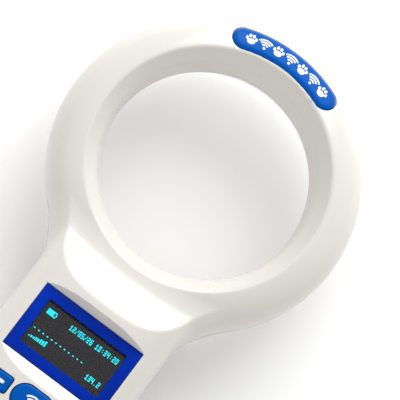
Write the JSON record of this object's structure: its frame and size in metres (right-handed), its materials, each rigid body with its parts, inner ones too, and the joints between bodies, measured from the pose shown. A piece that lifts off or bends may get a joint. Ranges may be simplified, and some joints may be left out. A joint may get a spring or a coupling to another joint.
{
  "type": "microchip scanner",
  "caption": "Hand-held microchip scanner: a round open reading ring on a handle with a small display and a row of push keys.",
  "frame": {"origin": "middle of the bounding box's underside, with the scanner lying on its back", "axes": "+Z out of the display face, +Y from the handle to the ring, +X to the right when the display is read"},
  "size_m": [0.0825, 0.155, 0.0335],
  "materials": {
    "case_plastic": "glossy moulded, warm white",
    "blue_plastic": "glossy moulded, deep blue",
    "window_plastic": "clear plate printed blue round its edge",
    "black_foam": "matte foam",
    "display_glass": "polished black glass",
    "inner_plastic": "matte black",
    "flex_film": "amber film",
    "connector_plastic": "matte natural",
    "switch_metal": "tinned sheet",
    "circuit_board": "solder mask, satin green",
    "chip_black": "matte moulded",
    "capacitor_ceramic": "matte tan",
    "battery_foil": "satin foil",
    "lead_rubber": "soft sleeve",
    "former_plastic": "matte natural",
    "coil_copper": "enamelled wire",
    "screw_steel": "zinc plated",
    "label_film": "blank silver film"
  },
  "bodies": {
    "case": {"antenna_coil": "coil_copper", "battery_cell": "battery_foil", "battery_header": "connector_plastic", "battery_leads": "lead_rubber", "battery_pad": "black_foam", "battery_plug": "connector_plastic", "board_capacitors": "capacitor_ceramic", "board_crystal": "switch_metal", "board_resistors": "chip_black", "board_screws": "screw_steel", "buzzer": "inner_plastic", "case_screws": "screw_steel", "charge_socket": "switch_metal", "charger_chip": "chip_black", "coil_former": "former_plastic", "coil_header": "connector_plastic", "coil_leads": "lead_rubber", "coil_plug": "connector_plastic", "controller_chip": "chip_black", "display_connector": "connector_plastic", "display_flex": "flex_film", "display_foam": "black_foam", "display_holder": "inner_plastic", "display_panel": "display_glass", "display_window": "window_plastic", "front_cover": "case_plastic", "left_switch": "switch_metal", "main_board": "circuit_board", "memory_chip": "chip_black", "reader_chip": "chip_black", "rear_cover": "case_plastic", "rear_label": "label_film", "right_switch": "switch_metal", "ring_badge": "blue_plastic", "scan_switch": "switch_metal", "socket_tongue": "inner_plastic", "window_tape": "black_foam"},
    "scan_key_body": {"scan_key": "blue_plastic", "scan_plunger": "inner_plastic"},
    "left_key_body": {"left_key": "blue_plastic", "left_plunger": "inner_plastic"},
    "right_key_body": {"right_key": "blue_plastic", "right_plunger": "inner_plastic"}
  },
  "joints": [
    {"name": "scan_press", "type": "slide", "parent": "case", "child": "scan_key_body", "axis": [0, 0, -1], "range_m": [0, 0.0004], "stiffness_N_per_m": 400},
    {"name": "left_press", "type": "slide", "parent": "case", "child": "left_key_body", "axis": [0, 0, -1], "range_m": [0, 0.0004], "stiffness_N_per_m": 400},
    {"name": "right_press", "type": "slide", "parent": "case", "child": "right_key_body", "axis": [0, 0, -1], "range_m": [0, 0.0004], "stiffness_N_per_m": 400}
  ]
}
